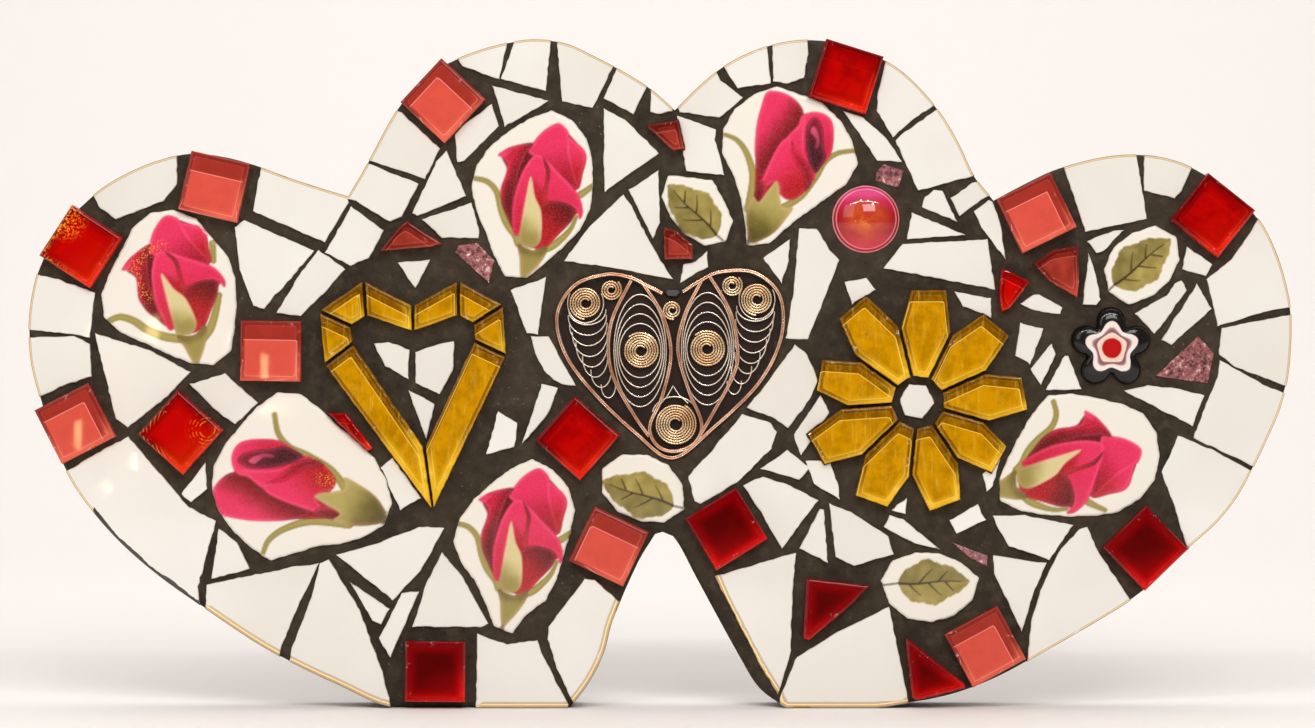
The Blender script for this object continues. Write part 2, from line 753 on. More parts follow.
def lay_grout():
    """The grout: sunk between the pieces, drawn up against their sides and rounded at the outline."""
    bm = ngon_of(EASED_OUTLINE)
    face_front(bm)
    split_long_edges(bm, 2.0 * MM)
    tops = score(bm, bm.faces[:], 1.9 * MM)
    inner = list(dict.fromkeys(v for face in tops for v in face.verts))
    flat = flat_of(inner)
    from_outline = inside_by(flat, EASED_OUTLINE)
    from_piece = np.full(len(flat), np.inf)
    for ring in SHARD_RINGS + list(SET_RINGS.values()):
        low, high = ring.min(0) - 4 * MM, ring.max(0) + 4 * MM
        close = ((flat > low) & (flat < high)).all(1)
        if close.any():
            from_piece[close] = np.minimum(from_piece[close], -inside_by(flat[close], ring))
    in_heart = inside_by(flat, HEART_RING)
    for vert, rim, gap, heart in zip(inner, from_outline, from_piece, in_heart):
        level = GROUT_LEVEL + 0.28 * MM * noise.fractal(vert.co / (5 * MM), 1.0, 2.0, 3)
        level -= 0.45 * MM * math.exp(-max(gap, 0) / (0.9 * MM))
        level += 1.6 * MM * (1 - min(max(rim, 0) / (1.8 * MM), 1)) ** 2
        if heart > 0:
            level = max(level, WIRE_SEAT - 0.2 * MM)
        vert.co.y = level
    lay_walls(bm, BOARD_FACE)
    mesh = mesh_of("grout_bed", bm)
    place_piece("grout_bed", mesh, grout_mix(), "china_mosaic_in_grout", smooth=True)


# ------------------------------------------------------------------ glass

# Light comes from above, so the coloured back is lit a little lower than the glass over it.
LIGHT_SHIFT = np.array([-0.0012, -0.0062])


def set_glass(node, material, depth=1.0, lip=0.8, broken=0.0, spacing=1.0):
    """Laps a glass piece: its edge is rounded in three steps, and marks its light and its own middle."""
    ring = SET_RINGS[node]
    bm = ngon_of(ring)
    if broken:
        split_long_edges(bm, 1.5 * MM)
        roughen_outline(bm, broken * MM)
    steps = [(lip * inset * MM, lip * rise * MM) for inset, rise in ((0.3, 0.52), (0.4, 0.33), (0.5, 0.15))]
    tops = relief(bm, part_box(node)[0].y, steps, mitred=not broken)
    score(bm, tops, spacing * MM)
    lay_walls(bm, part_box(node)[1].y)
    mesh = mesh_of("polished_" + node, bm)
    places = points_of(mesh)
    flat = places[:, [0, 2]]
    keep_mark(mesh, "edge", np.maximum(inside_by(flat, ring), 0) / MM)
    keep_mark(mesh, "lit", inside_by(flat - LIGHT_SHIFT * depth, ring) / MM)
    middle = (ring.min(0) + ring.max(0)) / 2
    from_middle = (places - (middle[0], 0, middle[1])) / MM
    keep_mark(mesh, "from_middle", from_middle, "FLOAT_VECTOR", "vector")
    place_piece("polished_" + node, mesh, material, node)


# Each glass: its colour where it is lit and in the shade, of its fine line and of the glow low down,
# and what else sets it apart.
GLASS = {
    "coral": ((206, 80, 66), (150, 46, 36), (236, 152, 138), (222, 100, 78), {}),
    "dusky_coral": ((164, 58, 46), (104, 22, 14), (214, 116, 98), (190, 72, 54), dict(clear=0.5, mottle=0.9)),
    "red": ((176, 3, 2), (112, 0, 2), (226, 60, 40), (236, 36, 10), dict(clear=0.1, mottle=0.9, gloss=0.08)),
    "bright_red": (
        (200, 6, 3), (136, 0, 2), (236, 80, 56), (246, 52, 14), dict(clear=0.5, mottle=0.9, gloss=0.08)),
    "speckled_red": (
        (180, 4, 2), (136, 0, 2), (226, 60, 40), (238, 48, 12),
        dict(clear=0.1, sparks=(-4.5, 8.5, False), gloss=0.08)),
    "rippled_red": (
        (184, 4, 2), (130, 0, 2), (226, 60, 40), (244, 60, 14),
        dict(clear=0.1, sparks=(9.0, 1.0, True), gloss=0.08)),
    "dark_red": ((80, 0, 0), (130, 0, 4), (190, 34, 30), (214, 14, 8), dict(clear=0.0, gloss=0.05)),
    "gold": (
        (194, 137, 2), (118, 74, 0), (244, 204, 88), (230, 182, 40), dict(streak=0.28, mottle=0.75, gloss=0.06)),
}
# The pieces whose glass isn't the one their name begins with.
OTHER_GLASS = {
    "red_glass_tile_1": "speckled_red", "red_glass_tile_2": "rippled_red",
    "bright_red_glass_shard": "bright_red", "dark_red_glass_shard_left": "bright_red",
    "coral_glass_shard_centre": "dusky_coral", "coral_glass_shard_round": "dusky_coral",
    "red_glass_shard_cleft": "dusky_coral", "red_glass_shard_long": "dusky_coral",
}


def lay_glass():
    glasses = {
        name: glass_over_colour(name + "_glass", *colours, **rest)
        for name, (*colours, rest) in GLASS.items()
    }
    glitter = glitter_glass()
    for node in SET_NODES:
        glass = glasses.get(OTHER_GLASS.get(node, node.split("_glass")[0]))
        if "_glass_tile_" in node:
            set_glass(node, glass)
        elif "glass_shard" in node:
            set_glass(node, glass, depth=0.5, lip=0.5, broken=0.25)
        elif node.startswith("gold"):
            set_glass(node, glass, depth=0.6, lip=0.6, broken=0.2)
        elif node.startswith("glitter"):
            set_glass(node, glitter, lip=0.3, broken=0.15, spacing=2.0)


def turned_bead(node, profile, segments, material, name, fullness=1.0):
    """A bead turned about its own axis from (radius, height) shares of its size."""
    low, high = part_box(node)
    middle = (low + high) / 2
    radius, height = fullness * (high.x - low.x) / 2, high.y - low.y
    bm = bmesh.new()
    line = [bm.verts.new((middle.x + r * radius, high.y - h * height, middle.z)) for r, h in profile]
    edges = [bm.edges.new(pair) for pair in zip(line, line[1:])]
    bmesh.ops.spin(
        bm, geom=line + edges, cent=(middle.x, 0, middle.z), axis=(0, 1, 0), angle=2 * math.pi,
        steps=segments, use_merge=True)
    bmesh.ops.remove_doubles(bm, verts=bm.verts[:], dist=0.01 * MM)
    bmesh.ops.recalc_face_normals(bm, faces=bm.faces[:])
    place_piece(name, mesh_of(name, bm), material, node, smooth=True)


def lay_beads():
    low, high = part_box("glass_dome")
    middle = (low + high) / 2
    profile = [(0, 0), (1, 0), (1, 0.18)]
    profile += [(math.cos(a), 0.18 + 0.82 * math.sin(a)) for a in np.linspace(0, math.pi / 2, 22)[1:]]
    turned_bead("glass_dome", profile, 72, dome_glass(middle, (high.x - low.x) / 2), "iridescent_dome")
    turned_bead("heart_bead", profile, 24, black_glass(), "small_black_bead", fullness=1.5)
    lay_flower_bead()


# The flower bead in millimetres: how far out its lobes' middles are, their radius, and the bead's least radius.
LOBE_OUT, LOBE_RADIUS, BEAD_WAIST = 8.9, 4.9, 8.8
# The bead's dome from its side to its middle, as shares of its width and height.
BEAD_DOME = ((1.0, 0.5), (0.985, 0.66), (0.94, 0.8), (0.87, 0.9), (0.76, 0.965), (0.6, 0.99), (0.4, 1.0), (0.15, 1.0))


def lay_flower_bead():
    """A five-lobed slice of layered glass cane, domed from its lobes to its middle."""
    low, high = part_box("flower_bead")
    middle = Vector(((low.x + high.x) / 2, high.y, SET_RINGS["flower_bead"].mean(0)[1]))
    bm = bmesh.new()
    rim = []
    for i in range(120):
        angle = 2 * math.pi * i / 120
        far = BEAD_WAIST
        for lobe in range(5):
            turn = angle - math.radians(90 + 72 * lobe)
            reach = LOBE_RADIUS ** 2 - (LOBE_OUT * math.sin(turn)) ** 2
            if reach > 0 and math.cos(turn) > 0:
                far = max(far, LOBE_OUT * math.cos(turn) + math.sqrt(reach))
        rim.append(bm.verts.new(middle + Vector((math.cos(angle), 0, math.sin(angle))) * far * MM))
    edges = [bm.edges.new(pair) for pair in zip(rim, rim[1:] + rim[:1])]
    bm.faces.new(rim)
    size = 1.0
    height = (high.y - low.y) / MM
    for share, rise in BEAD_DOME:
        grown = bmesh.ops.extrude_edge_only(bm, edges=edges)["geom"]
        ring = [g for g in grown if isinstance(g, bmesh.types.BMVert)]
        edges = [g for g in grown if isinstance(g, bmesh.types.BMEdge) and all(v in ring for v in g.verts)]
        for vert in ring:
            vert.co.x = middle.x + (vert.co.x - middle.x) * share / size
            vert.co.z = middle.z + (vert.co.z - middle.z) * share / size
            vert.co.y = high.y - height * rise * MM
        size = share
    bmesh.ops.holes_fill(bm, edges=edges, sides=0)
    bmesh.ops.recalc_face_normals(bm, faces=bm.faces[:])
    glass = star_bead_glass(Vector((middle.x, 0, middle.z)))
    place_piece("star_flower_bead", mesh_of("star_flower_bead", bm), glass, "flower_bead", smooth=True)


# ------------------------------------------------------------------ painted tiles

IVORY = (226, 221, 211)
OLIVE, PALE_OLIVE, DARK_OLIVE = (146, 132, 68), (206, 192, 138), (84, 72, 18)
PINK, ROSE, RED, DEEP = (217, 42, 88), (188, 20, 54), (164, 10, 22), (96, 0, 8)

# Layers of a painted bud, back to front, in millimetres about its middle:
# outline, colour at the start, colour at the end, and the two places between which it shades.
OPENING_BUD = [
  ([(-12.6, 14), (-9, 16.6), (-2, 18), (1, 21), (6, 24.4), (9.5, 21.5), (14, 16.4), (15, 13.5), (13.6, 8),
    (12, 2.5), (13.4, -4), (11.4, -6), (6.4, -12), (1, -16.6), (-4, -16), (-8, -11), (-12.4, -3),
    (-12.6, 3), (-10.8, 9)], DEEP, RED, (-2, 8), (4, -12)),
  ([(-2.5, 18.2), (1, 22.3), (6, 25), (9.3, 22.6), (10.2, 19.6), (14, 17), (15.6, 13.6), (14.4, 8.5),
    (12.4, 2.8), (6, 7), (0.5, 12), (-4, 15.5)], PINK, (150, 8, 34), (6, 19), (8, 4)),
  ([(9.2, 20.5), (12.5, 18), (15.4, 14), (14.2, 8.6), (12.5, 3.2), (10.4, 9), (9, 15)],
   PINK, RED, (13, 17), (12, 6)),
  ([(-13, 14.4), (-10, 17), (-2.4, 18.4), (-4.5, 14.6), (-7, 8), (-8.4, 0), (-8.6, -10.5), (-11.4, -5),
    (-13.2, 2), (-11.4, 8), (-11, 11.6)], ROSE, DEEP, (-13, 8), (-7, 5)),
  ([(-8.8, -12), (-9.2, -3), (-7.2, 5.5), (-4.4, 11.4), (-1.2, 14.6), (2.2, 12.8), (6.2, 8.6), (10.5, 4),
    (13.2, 0.6), (14.4, -4.5), (13.2, -7), (11.6, -3.4), (6, -2), (1.6, -2.6), (-1.4, 5.4), (-4.6, -1),
    (-5.8, -10.6)], PINK, ROSE, (0, 12), (-4, -14)),
  ([(-2.4, 6.8), (0.4, 4.4), (2.4, 0.4), (1, -4), (-3.2, -2)], ROSE, RED, (-2, 6), (1, -2)),
  ([(0.6, -16.8), (-0.6, -5), (1.4, -1.6), (6, -1), (11.2, -3), (11, -7), (6.4, -12)], RED, DEEP,
   (1, -10), (9.5, -2.5)),
  ([(1, 13.6), (3.3, 9.4), (2.8, 4), (1.5, -1.5), (0.6, 0.5), (1.6, 4.5), (2.1, 8.8)], RED, DEEP,
   (2, -1), (2, 12)),
  ([(-14, 14.4), (-12, 15.9), (-9, 16.4), (-10, 15), (-12, 13.6)], PINK, ROSE, (-13, 15), (-9, 15)),
  ([(-3.1, 7.2), (-1.6, 0.5), (0.5, -5), (0.2, -14.2), (-3, -16.6), (-7, -14.6), (-6.4, -9), (-4.9, -1)],
   PALE_OLIVE, OLIVE, (-1, -6), (-6, -12)),
  ([(-7.4, -15.4), (-4.6, -16.6), (-1.6, -17.4), (2.2, -15.8), (2, -18.6), (-0.6, -22.6), (-3.6, -26),
    (-6, -28.2), (-6.6, -25), (-6.8, -20)], DARK_OLIVE, OLIVE, (-4, -15), (-4.6, -21)),
  ([(-7, -30), (-5.9, -30), (-5.4, -27.6), (-6.4, -27.4)], (150, 146, 134), (110, 104, 88),
   (-7, -30), (-6, -28)),
]
OPENING_BUD_SEPALS = [
  ([(-21.5, 6.6), (-17.4, 5.4), (-14.4, 2), (-12.9, -4), (-11, -8.6), (-8.2, -12.4), (-7.2, -15)], 0.8, 1.3),
  ([(0, -17.2), (4, -16), (7.6, -13.2), (10.4, -10), (12.2, -6.2)], 1.5, 0.5),
  ([(13.6, 1.2), (15.6, 2.6), (18.4, 4.8)], 1.2, 0.7),
]
LEANING_BUD_SEPALS = [
  ([(-24.5, 0.2), (-21, -0.3), (-17.7, -3.6), (-15, -8.6), (-11, -13.4), (-6.6, -16.7)], 1.0, 1.5),
  ([(16, 8.9), (13.7, 2.9)], 1.1, 0.8),
  ([(10.5, -8.7), (6.6, -14.3), (3, -18.2), (-1.2, -20.3)], 1.0, 1.6),
]
CURLED_BUD = [
  ([(-6, 24.6), (-1, 24.4), (3.6, 22), (6, 18), (12, 18), (15, 15.6), (15.4, 11), (14.4, 5), (11.6, 1),
    (7.6, -4), (5.6, -7.6), (2, -10), (-5, -8), (-10, -9), (-9.8, 5), (-9.4, 14), (-8.2, 20)],
   DEEP, RED, (0, 8), (0, -10)),
  ([(-6.2, 25.4), (-1, 25.2), (3.6, 22.4), (5.9, 18.4), (4.6, 13.6), (1, 8), (-4, 2), (-8.6, -3),
    (-10.3, 4), (-10, 13), (-8.4, 20)], PINK, (110, 8, 14), (-7, 16), (1, 10)),
  ([(4.8, 16.6), (8, 18.6), (12, 18.4), (15.2, 16), (16, 11.4), (15.2, 5), (12, 0.6), (8.4, -3),
    (5.6, 2), (4.2, 10)], PINK, ROSE, (9, 17), (14, 4)),
  ([(7.2, 14.6), (9.4, 17), (11.6, 15.4), (12.6, 11.6), (12.8, 6.6), (13.2, 3.2), (10.2, -1.4),
    (8.3, 0), (6.9, 6), (6.6, 11)], (64, 4, 18), (122, 6, 34), (8, 6), (13, 12)),
  ([(8.2, 12.4), (9.2, 14), (10.6, 12), (11.3, 9), (10.6, 6.4), (9.8, 7), (10, 9.4), (9, 11)],
   (190, 60, 96), (120, 20, 50), (9, 13), (10.6, 7)),
  ([(0, 9.4), (4, 14.2), (6.6, 16.8), (6.2, 12), (6.2, 6), (8, 1), (9.6, -2.4), (9, -4.2), (5, 0),
    (2.6, 4)], PINK, ROSE, (4, 12), (8.6, -3)),
  ([(-10.6, -9.6), (-7.2, -2), (-4, 5), (-1, 9.4), (1.6, 10), (2.4, 7), (4.6, 2.6), (8.2, -1.6),
    (8.6, -4.6), (6.2, -8), (2, -10.6), (-1.4, -9.4), (-3, -5), (-6, -6)], PINK, RED, (-4, 2), (4, -9)),
  ([(1.8, 9.4), (3.6, 6), (8, 0.6), (8.7, -4.8), (6.4, -7.6), (6.2, -3), (3.6, 1), (1.8, 5)],
   (176, 0, 36), (120, 0, 20), (2, 6), (7, -6)),
  ([(-11.2, -12), (-9.8, -6), (-8.8, -3.6), (-6.4, -6), (-7, -10), (-9, -12)], DEEP, (150, 20, 40),
   (-10, -8), (-7, -8)),
  ([(-13.3, -18.6), (-12.9, -14), (-11, -9.4), (-9, -11.2), (-6, -7.4), (-3.4, -4.4), (-2.2, -6),
    (-1.9, -10), (-1, -13), (2.4, -13.2), (0, -17), (-3.4, -21), (-7.4, -23.6), (-12, -24.8)],
   (168, 154, 86), DARK_OLIVE, (-5, -11), (-11, -23)),
  ([(-14, -26), (-12.8, -26.4), (-11.4, -23.6), (-12.6, -23)], (70, 60, 40), (120, 112, 96),
   (-12, -23), (-13.6, -26)),
]
CURLED_BUD_SEPALS = [
  ([(-12.4, -13.6), (-11, -5), (-11.4, 0), (-13.4, 5.6), (-16.4, 9.4), (-20.4, 11.2)], 1.5, 0.6),
  ([(-1.4, -13.4), (5, -9.4), (10, -3), (13, 2), (17.4, 5), (23.6, 5.8)], 1.2, 0.7),
]
BUDS = {
    "opening": (OPENING_BUD, OPENING_BUD_SEPALS),
    "leaning": (OPENING_BUD, LEANING_BUD_SEPALS),
    "curled": (CURLED_BUD, CURLED_BUD_SEPALS),
}
# Which bud each tile carries, the bud's middle in X and Z, its turn in degrees, and its size across and along.
ROSES = {
    "rose_tile_1": ("leaning", (-160.4, 140.2), 26, (1.04, 0.94)),
    "rose_tile_2": ("opening", (-40.0, 170.0), 0, (1, 1)),
    "rose_tile_3": ("curled", (42.0, 180.0), 0, (1, 1)),
    "rose_tile_4": ("curled", (-120.4, 73.6), 93, (1.05, 1.17)),
    "rose_tile_5": ("opening", (-46.5, 55.0), 0, (1, 1)),
    "rose_tile_6": ("opening", (135.5, 80.0), -62, (1, 1)),
}
# Where worn gold dots lie on a petal: a line in X and Z, and their reach from it.
GOLD_DUST = {
    "rose_tile_1": ([(-166.4, 153.6), (-171.6, 152), (-175.2, 147.6), (-174.6, 141.6), (-171.4, 136.6)], 3.4),
    "rose_tile_4": ([(-112.6, 77), (-108, 74), (-104.4, 69.6)], 3.4),
}
# Each leaf's tip and base in X and Z, and its full width.
LEAVES = {
    "leaf_tile_1": ((2.6, 174.6), (19, 157.6), 15),
    "leaf_tile_2": ((170.4, 156.4), (151.4, 141), 15),
    "leaf_tile_3": ((-19.6, 75.6), (4.6, 67.4), 15),
    "leaf_tile_4": ((103.4, 42.2), (79.4, 41.6), 15),
}


def lay_over(paint, colour, cover):
    cover = np.clip(cover, 0, 1)[:, None]
    return paint * (1 - cover) + np.asarray(colour, float) * cover


def brush_bud(paint, points, bud, middle, turn, size):
    """Paints a bud's layers on the points of a tile, in display colours."""
    layers, sepals = BUDS[bud]
    angle = math.radians(-turn)
    away = points / MM - middle
    local = np.stack([away[:, 0] * math.cos(angle) - away[:, 1] * math.sin(angle),
                      away[:, 0] * math.sin(angle) + away[:, 1] * math.cos(angle)], 1) / size
    ripple = np.array([noise.noise(Vector((x * 0.35, z * 0.35, 3.1))) for x, z in local])
    for line, start, end in sepals:
        path = smooth_line(line, closed=False)
        gap = np.linalg.norm(local[:, None] - path, axis=-1)
        nearest = gap.argmin(1) / (len(path) - 1)
        half = start + (end - start) * nearest
        cover = (half - gap.min(1)) / 0.5 + 0.5
        paint = lay_over(paint, (158, 144, 78), cover)
        paint = lay_over(paint, (112, 98, 40), cover * np.clip(1 - (half - gap.min(1)) / 0.7, 0, 1) * 0.6)
    for outline, first, second, start, end in layers:
        inside = inside_by(local, smooth_line(outline, parts=6))
        run = np.subtract(end, start)
        share = ((local - start) @ run) / (run @ run) + 0.1 * ripple
        share = np.clip(share, 0, 1)[:, None]
        share = share * share * (3 - 2 * share)
        colour = np.asarray(first, float) * (1 - share) + np.asarray(second, float) * share
        sheen = np.exp(-((inside - 0.5) / 0.55) ** 2)[:, None] * 0.16
        colour = colour * (1 - sheen) + np.array((255, 170, 190.0)) * sheen
        paint = lay_over(paint, colour, inside / 0.55 + 0.5)
    return paint


def brush_leaf(paint, points, tip, base, width):
    """Paints one leaf with a forked dark rib, from its stem to its tip."""
    tip, base = np.array(tip, float), np.array(base, float)
    axis = tip - base
    length = np.linalg.norm(axis)
    axis /= length
    away = points / MM - base
    along, aside = away @ axis, away @ np.array([-axis[1], axis[0]])
    share = np.clip(along / length, 0, 1)
    lobes = 1 + 0.07 * np.sin(share * 17 + np.sign(aside)) * (share < 0.9)
    teeth = 0.5 * np.abs(((share * 9 + 0.3 * np.sign(aside)) % 1) - 0.25)
    half = width / 2 * np.sin(np.pi * share ** 0.78) ** 0.8 * lobes - teeth
    body = np.where((along > 0) & (along < length), half - np.abs(aside), -1)
    blotch = np.array([noise.noise(Vector((x * 0.3, z * 0.3, 8.0))) for x, z in away])
    leaf = np.array((144, 129, 66.0)) + np.outer(blotch, (26, 24, 22))
    leaf = leaf * np.where(aside > 0, 0.9, 1.04)[:, None]
    stem = (0.55 - np.abs(aside - 0.1 * along)) / 0.4
    paint = lay_over(paint, (120, 116, 104), np.where((along > -7) & (along < 1), stem, 0))
    paint = lay_over(paint, leaf, body / 0.6 + 0.5)
    vein = np.abs(aside + 0.35 * np.sin(share * 7)) - (0.46 - 0.34 * share)
    paint = lay_over(paint, (56, 42, 16), np.where((along > 0) & (share < 0.88), -vein / 0.4 + 0.4, 0))
    for i, root in enumerate((0.14, 0.3, 0.42, 0.55, 0.66)):
        side = 1 if i % 2 else -1
        out = aside * side
        rise = along - root * length - out * (0.75 + 0.05 * out)
        cover = np.where((out > 0) & (out < half * 0.66), (0.36 - 0.04 * out - np.abs(rise) * 0.7) / 0.35 + 0.3, 0)
        paint = lay_over(paint, (60, 46, 20), cover * 0.95)
    return paint


def gold_dust(points, line, reach):
    """How thickly worn gold dots lie on each point, along a line of a petal."""
    path = smooth_line(line, closed=False)
    gap = np.linalg.norm(points[:, None] / MM - path, axis=-1).min(1)
    return np.clip(1.2 * (1 - gap / reach), 0, 1)


def broken_line(ring, step, amount):
    """A closed outline with nibbled sides."""
    points = []
    for here, there in zip(ring, np.roll(ring, -1, axis=0)):
        count = max(1, round(np.linalg.norm(there - here) / step))
        for part in range(count):
            place = here + (there - here) * part / count
            push = noise.noise_vector(Vector((place[0], 0, place[1])) / (1.9 * MM))
            points.append(place + np.array((push.x, push.z)) * amount)
    return np.array(points)


def set_painted(node, material, step, brush):
    """A nibbled tile on a fine grid whose rim follows the CAD tile, painted point by point."""
    ring = broken_line(SET_RINGS[node], 1.2 * MM, 0.35 * MM)
    low, high = ring.min(0), ring.max(0)
    middle, size = (low + high) / 2, high - low
    bm = bmesh.new()
    to_wall = Matrix.Translation((middle[0], 0, middle[1])) @ Matrix.Rotation(math.pi / 2, 4, "X")
    fit = Matrix.Diagonal((size[0] / 2, size[1] / 2, 1, 1))
    counts = [int(length / (step * MM)) for length in size]
    bmesh.ops.create_grid(bm, x_segments=counts[0], y_segments=counts[1], size=1.0, matrix=to_wall @ fit)
    flat = flat_of(bm.verts)
    outside = inside_by(flat, ring) < 0.3 * step * MM
    bmesh.ops.delete(bm, geom=[v for v, out in zip(bm.verts, outside) if out], context="VERTS")
    spare = [v for v in bm.verts if len(v.link_faces) < 1]
    bmesh.ops.delete(bm, geom=spare, context="VERTS")
    rim = [v for v in bm.verts if v.is_boundary]
    draw_to(rim, ring)
    flat = flat_of(bm.verts)
    inside = np.maximum(inside_by(flat, ring), 0) / MM
    top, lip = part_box(node)[0].y, 0.6
    centre = flat.mean(0)
    for vert, depth in zip(bm.verts, inside):
        fall = 1 - math.sqrt(1 - (1 - min(depth / lip, 1)) ** 2)
        swell = 0.35 * MM * (((vert.co.x - centre[0]) / size[0]) ** 2 + ((vert.co.z - centre[1]) / size[1]) ** 2)
        wave = 0.05 * MM * noise.noise(vert.co / (14 * MM))
        vert.co.y = top + 0.1 * MM + 0.32 * fall * MM + swell + wave
    lay_walls(bm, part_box(node)[1].y)
    mesh = mesh_of("painted_" + node, bm)
    flat = points_of(mesh)[:, [0, 2]]
    paint = np.tile(np.array(IVORY, float), (len(flat), 1))
    paint = np.clip(brush(paint, flat), 0, 255)
    opaque = np.ones((len(paint), 1))
    keep_mark(mesh, "paint", np.hstack([light_value(paint), opaque]), "FLOAT_COLOR", "color")
    reddish = np.clip((paint[:, 0] - paint[:, 1]) / 255 * 4 - 0.6, 0, 1)
    dust = gold_dust(flat, *GOLD_DUST[node]) if node in GOLD_DUST else np.zeros(len(flat))
    keep_mark(mesh, "dust", dust * reddish)
    place_piece("painted_" + node, mesh, material, node, smooth=True)


def lay_painted_tiles():
    rose_glaze, leaf_glaze = painted_glaze("painted_rose_glaze"), painted_glaze("painted_leaf_glaze")
    step = 0.4
    for node, rose in ROSES.items():
        set_painted(node, rose_glaze, step, lambda paint, at: brush_bud(paint, at, *rose))
    for node, leaf in LEAVES.items():
        set_painted(node, leaf_glaze, step * 0.8, lambda paint, at: brush_leaf(paint, at, *leaf))


# ------------------------------------------------------------------ filigree

HEART_FRAME = [
    (0.8, 138.3), (-4.5, 141), (-10, 143.6), (-18, 144.6), (-28.5, 140.9), (-34.3, 131), (-31.5, 118),
    (-22, 105), (-8, 91.6), (4.2, 83.4), (18, 93.6), (33, 108.4), (40.4, 123.5), (40, 137.5), (31.5, 145.2),
    (20, 145.4), (13, 142.2), (7.6, 138.8),
]
LYRE = [
    (-5.6, 141.5), (0.9, 131), (3.7, 118.4), (0.8, 104), (-3.4, 94), (-0.8, 87.4), (5.2, 85.6),
    (11.6, 88.4), (13.9, 95), (9.6, 106), (6, 119.5), (8.2, 131), (13.8, 142.3),
]
EYE_WIRES = [
    [(-9.6, 142.6), (-15.8, 130), (-17.2, 119), (-15, 109), (-8.5, 97.5), (-3.6, 90.6)],
    [(16.6, 144), (23.5, 132), (26, 119), (24.3, 110.5), (17.5, 98), (13.2, 90.6)],
]
# Spiral coils: middle in X and Z, and radius.
COILS = [
    (-6.4, 119.2, 6.3), (15.7, 119.8, 6.3), (5.2, 94.7, 7.2), (-24.8, 135, 5.6), (-16.3, 139.5, 3.8),
    (32.4, 136.3, 5.6), (24, 140.9, 3.8), (4.1, 132.7, 3.4),
]
HEART_RING = smooth_line(HEART_FRAME) * MM


def drawn_wire(lines, radius, sides=3):
    """A mesh of round wires along lines of (x, z) millimetres; radius may vary along a line."""
    data = bpy.data.curves.new("wire", "CURVE")
    data.dimensions = "3D"
    data.bevel_depth = MM
    data.bevel_resolution = sides
    data.use_fill_caps = True
    for line, level in lines:
        spline = data.splines.new("POLY")
        spline.points.add(len(line) - 1)
        for i, (x, z) in enumerate(line):
            spline.points[i].co = (x * MM, level, z * MM, 1)
            spline.points[i].radius = radius(i) if callable(radius) else radius
    holder = bpy.data.objects.new("wire", data)
    bpy.context.scene.collection.objects.link(holder)
    bpy.context.view_layer.update()
    mesh = bpy.data.meshes.new_from_object(holder.evaluated_get(bpy.context.evaluated_depsgraph_get()))
    bpy.data.objects.remove(holder)
    bpy.data.curves.remove(data)
    return mesh


def arc(middle, half_width, drop, start=-90, end=90, parts=22):
    angles = np.radians(np.linspace(start, end, parts))
    return np.stack([middle[0] + half_width * np.sin(angles), middle[1] - drop * np.cos(angles)], 1)


# The hanging crescents of the left lobe: left end, right end, height of the ends and of the lowest point.
LOBE_CRESCENTS = [
    (-30.4, -18.0, 132.6, 127.8), (-30.6, -17.8, 130.6, 124.3), (-30.2, -17.6, 128.0, 120.8),
    (-29.2, -17.5, 124.8, 117.2), (-28.0, -17.5, 121.4, 113.7), (-25.8, -17.4, 117.0, 110.3),
    (-23.0, -16.2, 112.4, 106.9), (-19.6, -14.8, 107.6, 103.4),
]


def crescents():
    lines = []
    for x, z in ((-6.6, 119.2), (15.9, 119.8)):
        for i in range(4):
            lines.append(arc((x, z), 6.9 + 0.62 * i, 9.0 + 3.25 * i, -180, 180, 48))
    for left, right, top, bottom in LOBE_CRESCENTS:
        middle, half = (left + right) / 2, (right - left) / 2
        lines.append(arc((middle, top), half, top - bottom, -94, 94))
        lines.append(arc((7.6 - middle, top + 1.2), half, top - bottom, -94, 94))
    for x, z in ((-24.8, 135.0), (32.4, 136.3)):
        lines.append(arc((x, z), 6.0, 6.6, -120, 120))
    lines.append(arc((5.0, 97.6), 7.6, -6.2, -80, 80))
    lines.append(np.array([(0.2, 101.4), (2.6, 104.2), (4.4, 107.4), (6.4, 104.4), (9.4, 101.6)]))
    return lines


def coil_line(x, z, radius, hole, pitch=0.84):
    """A flat coil wound out from its hole, with a point at every bead."""
    far, angle = [hole], [0.6]
    while far[-1] < radius - 0.3:
        step = 0.46 / far[-1]
        angle.append(angle[-1] + step)
        far.append(far[-1] + pitch * step / (2 * math.pi))
    far, angle = np.array(far), np.array(angle)
    return np.stack([x + far * np.cos(angle), z + far * np.sin(angle)], 1)


def beside(line, gap):
    """The same line moved sideways by a gap."""
    along = np.gradient(line, axis=0)
    along /= np.linalg.norm(along, axis=1)[:, None]
    return line + gap * np.stack([-along[:, 1], along[:, 0]], 1)


